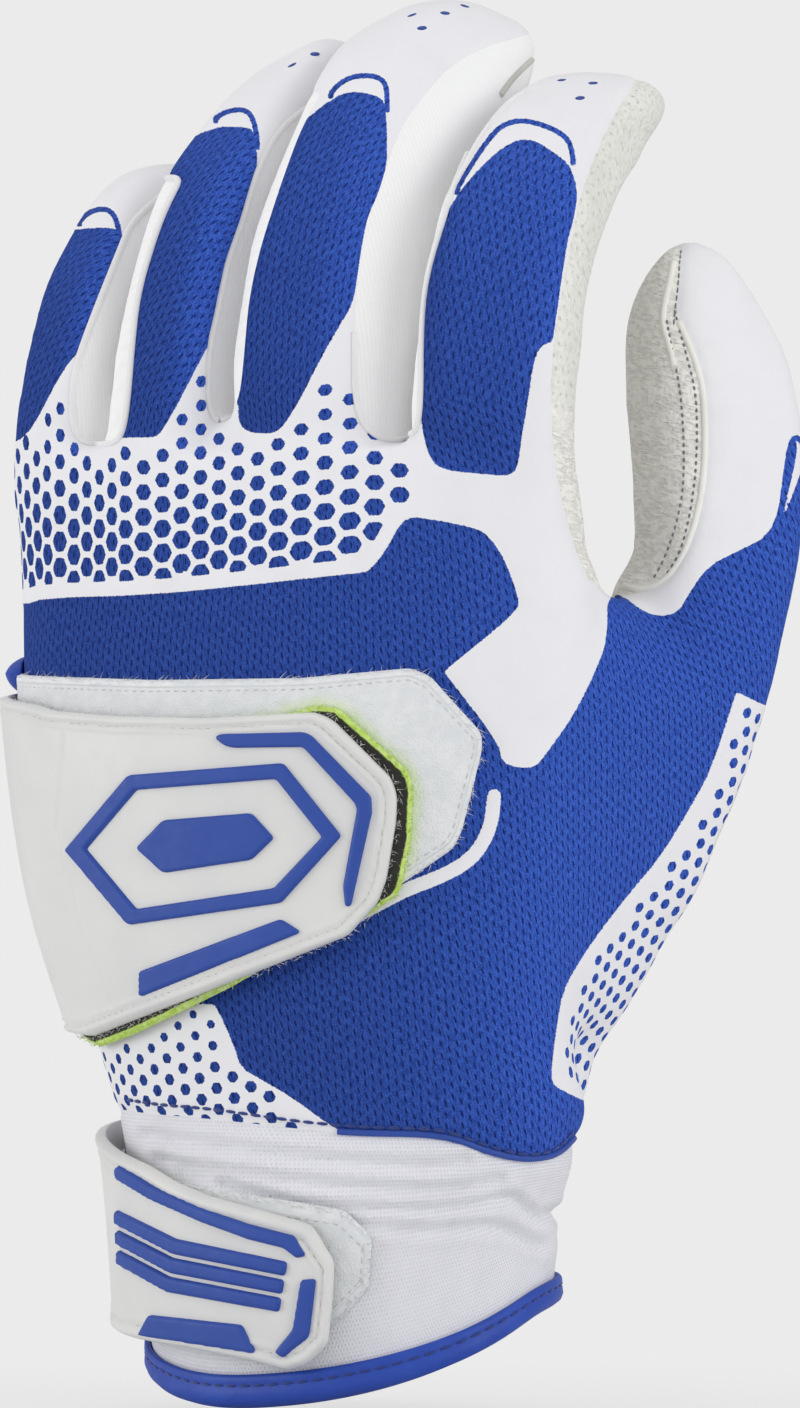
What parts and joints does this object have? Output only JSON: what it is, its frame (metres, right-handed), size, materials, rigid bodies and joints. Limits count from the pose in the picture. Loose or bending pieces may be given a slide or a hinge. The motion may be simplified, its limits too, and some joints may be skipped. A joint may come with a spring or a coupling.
{
  "type": "batting glove",
  "caption": "Left batting glove on a relaxed hand: knit back, leather palm, bending fingers and thumb, cuff with binding and two hook-and-loop straps that lift.",
  "frame": {"origin": "middle of the wrist opening, where the hand goes in", "axes": "+Z from the wrist to the fingertips, -Y out of the back of the hand, +X to the thumb side"},
  "size_m": [0.1212, 0.088, 0.2111],
  "materials": {
    "blue_knit": "perforated knit mesh",
    "white_knit": "fine stretch knit",
    "white_foam": "foam laminated with knit, moulded ribs",
    "palm_leather": "soft grained leather",
    "white_rubber": "satin moulded rubber",
    "blue_rubber": "satin moulded rubber",
    "blue_binding": "coated binding tape",
    "loop_pile": "brushed loop pile",
    "hook_pile": "woven hook tape"
  },
  "bodies": {
    "hand": {"back_panel": "blue_knit", "cuff": "white_foam", "cuff_binding": "blue_binding", "hand_strap_anchor": "white_rubber", "hand_strap_loop_pad": "loop_pile", "index_back_base": "blue_knit", "index_front_base": "palm_leather", "index_sleeve": "white_knit", "little_back_base": "blue_knit", "little_front_base": "palm_leather", "little_ring_gusset": "white_knit", "little_sleeve": "white_knit", "middle_back_base": "blue_knit", "middle_front_base": "palm_leather", "middle_index_gusset": "white_knit", "middle_sleeve": "white_knit", "palm_panel": "palm_leather", "ring_back_base": "blue_knit", "ring_front_base": "palm_leather", "ring_middle_gusset": "white_knit", "ring_sleeve": "white_knit", "strap_slot_binding": "blue_binding", "thumb_back_base": "blue_knit", "thumb_front_base": "palm_leather", "thumb_sleeve": "white_knit", "wrist_strap_anchor": "white_rubber", "wrist_strap_loop_pad": "loop_pile"},
    "little_end": {"little_back_tip": "blue_knit", "little_front_tip": "palm_leather", "little_tip_gusset_inner": "white_knit"},
    "ring_end": {"ring_back_tip": "blue_knit", "ring_front_tip": "palm_leather", "ring_tip_gusset_inner": "white_knit", "ring_tip_gusset_outer": "white_knit"},
    "middle_end": {"middle_back_tip": "blue_knit", "middle_front_tip": "palm_leather", "middle_tip_gusset_inner": "white_knit", "middle_tip_gusset_outer": "white_knit"},
    "index_end": {"index_back_tip": "blue_knit", "index_front_tip": "palm_leather", "index_tip_gusset_outer": "white_knit"},
    "thumb_end": {"thumb_back_tip": "blue_knit", "thumb_front_tip": "palm_leather"},
    "hand_strap": {"hand_strap_badge": "blue_rubber", "hand_strap_hook_pad": "hook_pile", "hand_strap_lower_bar": "blue_rubber", "hand_strap_tab": "white_rubber", "hand_strap_upper_bar": "blue_rubber"},
    "wrist_strap": {"wrist_strap_grip_rib_1": "blue_rubber", "wrist_strap_grip_rib_2": "blue_rubber", "wrist_strap_grip_rib_3": "blue_rubber", "wrist_strap_hook_pad": "hook_pile", "wrist_strap_lower_bar": "blue_rubber", "wrist_strap_tab": "white_rubber", "wrist_strap_upper_bar": "blue_rubber"}
  },
  "joints": [
    {"name": "little_bend", "type": "hinge", "parent": "hand", "child": "little_end", "pos_m": [-0.03883, 0.02439, 0.15264], "axis": [-0.6651, 0.7183, -0.2042], "range_deg": [-25, 50], "stiffness_Nm_per_rad": 0.05, "deforming": ["little_sleeve"]},
    {"name": "ring_bend", "type": "hinge", "parent": "hand", "child": "ring_end", "pos_m": [-0.02049, 0.0155, 0.16397], "axis": [-0.7443, 0.6608, -0.0972], "range_deg": [-25, 50], "stiffness_Nm_per_rad": 0.05, "deforming": ["ring_sleeve"]},
    {"name": "middle_bend", "type": "hinge", "parent": "hand", "child": "middle_end", "pos_m": [-0.00134, 0.00364, 0.16642], "axis": [-0.8434, 0.535, -0.0497], "range_deg": [-25, 50], "stiffness_Nm_per_rad": 0.05, "deforming": ["middle_sleeve"]},
    {"name": "index_bend", "type": "hinge", "parent": "hand", "child": "index_end", "pos_m": [0.02531, -0.01225, 0.16091], "axis": [-0.9399, 0.3319, 0.0801], "range_deg": [-25, 40], "stiffness_Nm_per_rad": 0.05, "deforming": ["index_sleeve"]},
    {"name": "thumb_bend", "type": "hinge", "parent": "hand", "child": "thumb_end", "pos_m": [0.05565, 0.00662, 0.12719], "axis": [0.8676, 0.4907, -0.0798], "range_deg": [-40, 25], "stiffness_Nm_per_rad": 0.05, "deforming": ["thumb_sleeve"]},
    {"name": "hand_strap_lift", "type": "hinge", "parent": "hand", "child": "hand_strap", "pos_m": [-0.0454, 0.01817, 0.067], "axis": [0.2188, -0.036, -0.9751], "range_deg": [0, 90]},
    {"name": "wrist_strap_lift", "type": "hinge", "parent": "hand", "child": "wrist_strap", "pos_m": [-0.03492, 0.01465, 0.01482], "axis": [0.1113, 0.0091, -0.9938], "range_deg": [0, 90]}
  ]
}
